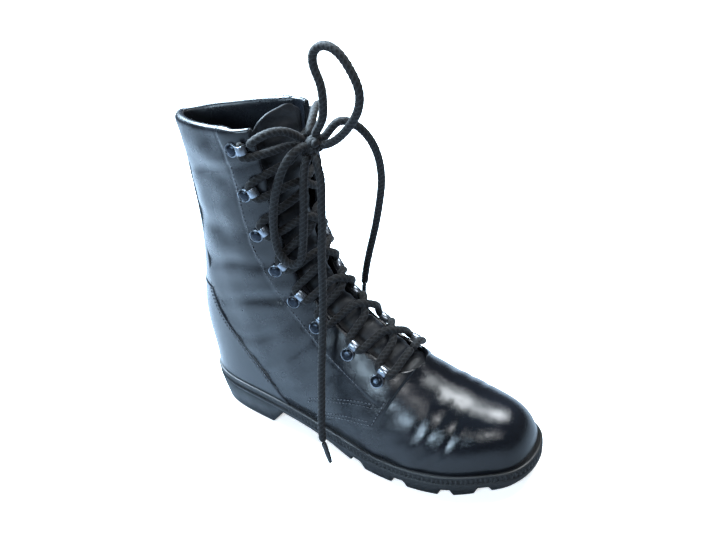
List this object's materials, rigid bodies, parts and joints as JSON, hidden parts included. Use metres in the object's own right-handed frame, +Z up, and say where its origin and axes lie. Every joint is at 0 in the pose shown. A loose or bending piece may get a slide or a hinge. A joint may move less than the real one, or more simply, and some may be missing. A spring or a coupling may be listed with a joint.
{
  "type": "combat boot",
  "caption": "Tall laced leather combat boot for the right foot: plain toe, padded collar, speed-lace eyelets, outside heel counter and a lugged rubber sole.",
  "frame": {"origin": "on the floor below the middle of the boot without its loose laces", "axes": "+X from heel to toe, +Y to the inner (medial) side, +Z up"},
  "size_m": [0.2904, 0.116, 0.3112],
  "materials": {
    "leather": "polished black full-grain leather",
    "counter_leather": "high-gloss polished black leather",
    "tongue_leather": "soft satin black leather",
    "rubber": "satin black moulded rubber",
    "insole_cloth": "matt dark cloth",
    "eyelet_metal": "black lacquer worn bright at the edges",
    "lace_cord": "round black braid",
    "aglet_plastic": "smooth black"
  },
  "bodies": {
    "root": {"sole": "rubber", "insole": "insole_cloth", "upper": "leather", "tongue": "tongue_leather", "heel_counter": "counter_leather", "back_stay": "leather", "lace_crossings": "lace_cord", "eyelet_outer_1": "eyelet_metal", "eyelet_outer_2": "eyelet_metal", "eyelet_outer_3": "eyelet_metal", "eyelet_outer_4": "eyelet_metal", "eyelet_outer_5": "eyelet_metal", "eyelet_outer_6": "eyelet_metal", "eyelet_outer_7": "eyelet_metal", "eyelet_outer_8": "eyelet_metal", "eyelet_inner_1": "eyelet_metal", "eyelet_inner_2": "eyelet_metal", "eyelet_inner_3": "eyelet_metal", "eyelet_inner_4": "eyelet_metal", "eyelet_inner_5": "eyelet_metal", "eyelet_inner_6": "eyelet_metal", "eyelet_inner_7": "eyelet_metal", "eyelet_inner_8": "eyelet_metal", "lace_run_outer": "lace_cord", "lace_run_inner": "lace_cord", "bow_loop_up": "lace_cord", "bow_loop_down": "lace_cord", "lace_end_inner": "lace_cord", "lace_end_outer": "lace_cord", "bow_knot": "lace_cord", "aglet_inner": "aglet_plastic", "aglet_outer": "aglet_plastic"}
  },
  "joints": []
}
